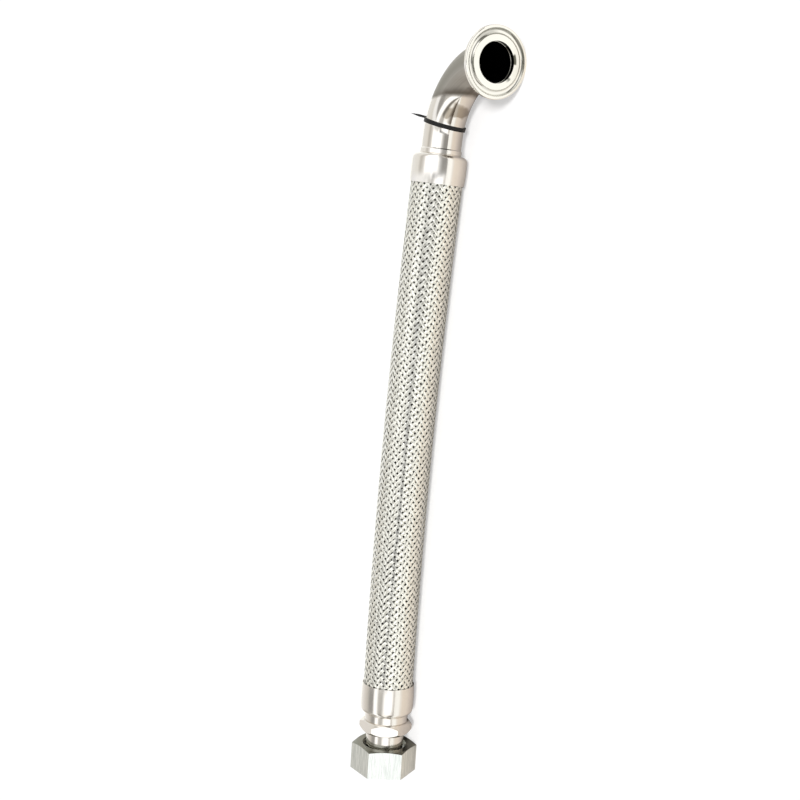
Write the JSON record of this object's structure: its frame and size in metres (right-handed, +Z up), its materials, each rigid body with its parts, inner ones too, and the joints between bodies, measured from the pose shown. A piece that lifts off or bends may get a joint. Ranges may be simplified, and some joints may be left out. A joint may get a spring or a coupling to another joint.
{
  "type": "braided metal hose",
  "caption": "Flexible metal hose in a woven wire sleeve, with a swivelling union nut at one end and a clamp ferrule on an elbow at the other.",
  "frame": {"origin": "on the floor, under the middle of the box round the part as it lies", "axes": "+X along the hose from the union nut to the elbow, +Z up; the ferrule's face looks towards -Y"},
  "size_m": [0.72, 0.153, 0.0639],
  "materials": {
    "nut_steel": "brushed stainless steel",
    "polished_steel": "polished stainless steel",
    "satin_steel": "satin stainless steel",
    "hose_steel": "drawn stainless steel",
    "braid_wire": "woven bright wire",
    "black_nylon": "moulded nylon"
  },
  "bodies": {
    "hose": {"tail_tube": "polished_steel", "hex_adapter": "polished_steel", "neck_ring": "polished_steel", "bottom_braid_collar": "polished_steel", "corrugated_hose": "hose_steel", "braid_sleeve": "braid_wire", "top_braid_collar": "polished_steel", "top_ring": "polished_steel", "elbow_tube": "polished_steel", "clamp_ferrule": "satin_steel", "cable_tie": "black_nylon"},
    "union_nut": {"union_nut": "nut_steel"}
  },
  "joints": [
    {"name": "nut_swivel", "type": "hinge", "parent": "hose", "child": "union_nut", "pos_m": [-0.35186, 0.04363, 0.02864], "axis": [-1, 0, 0.0033], "continuous": true}
  ]
}
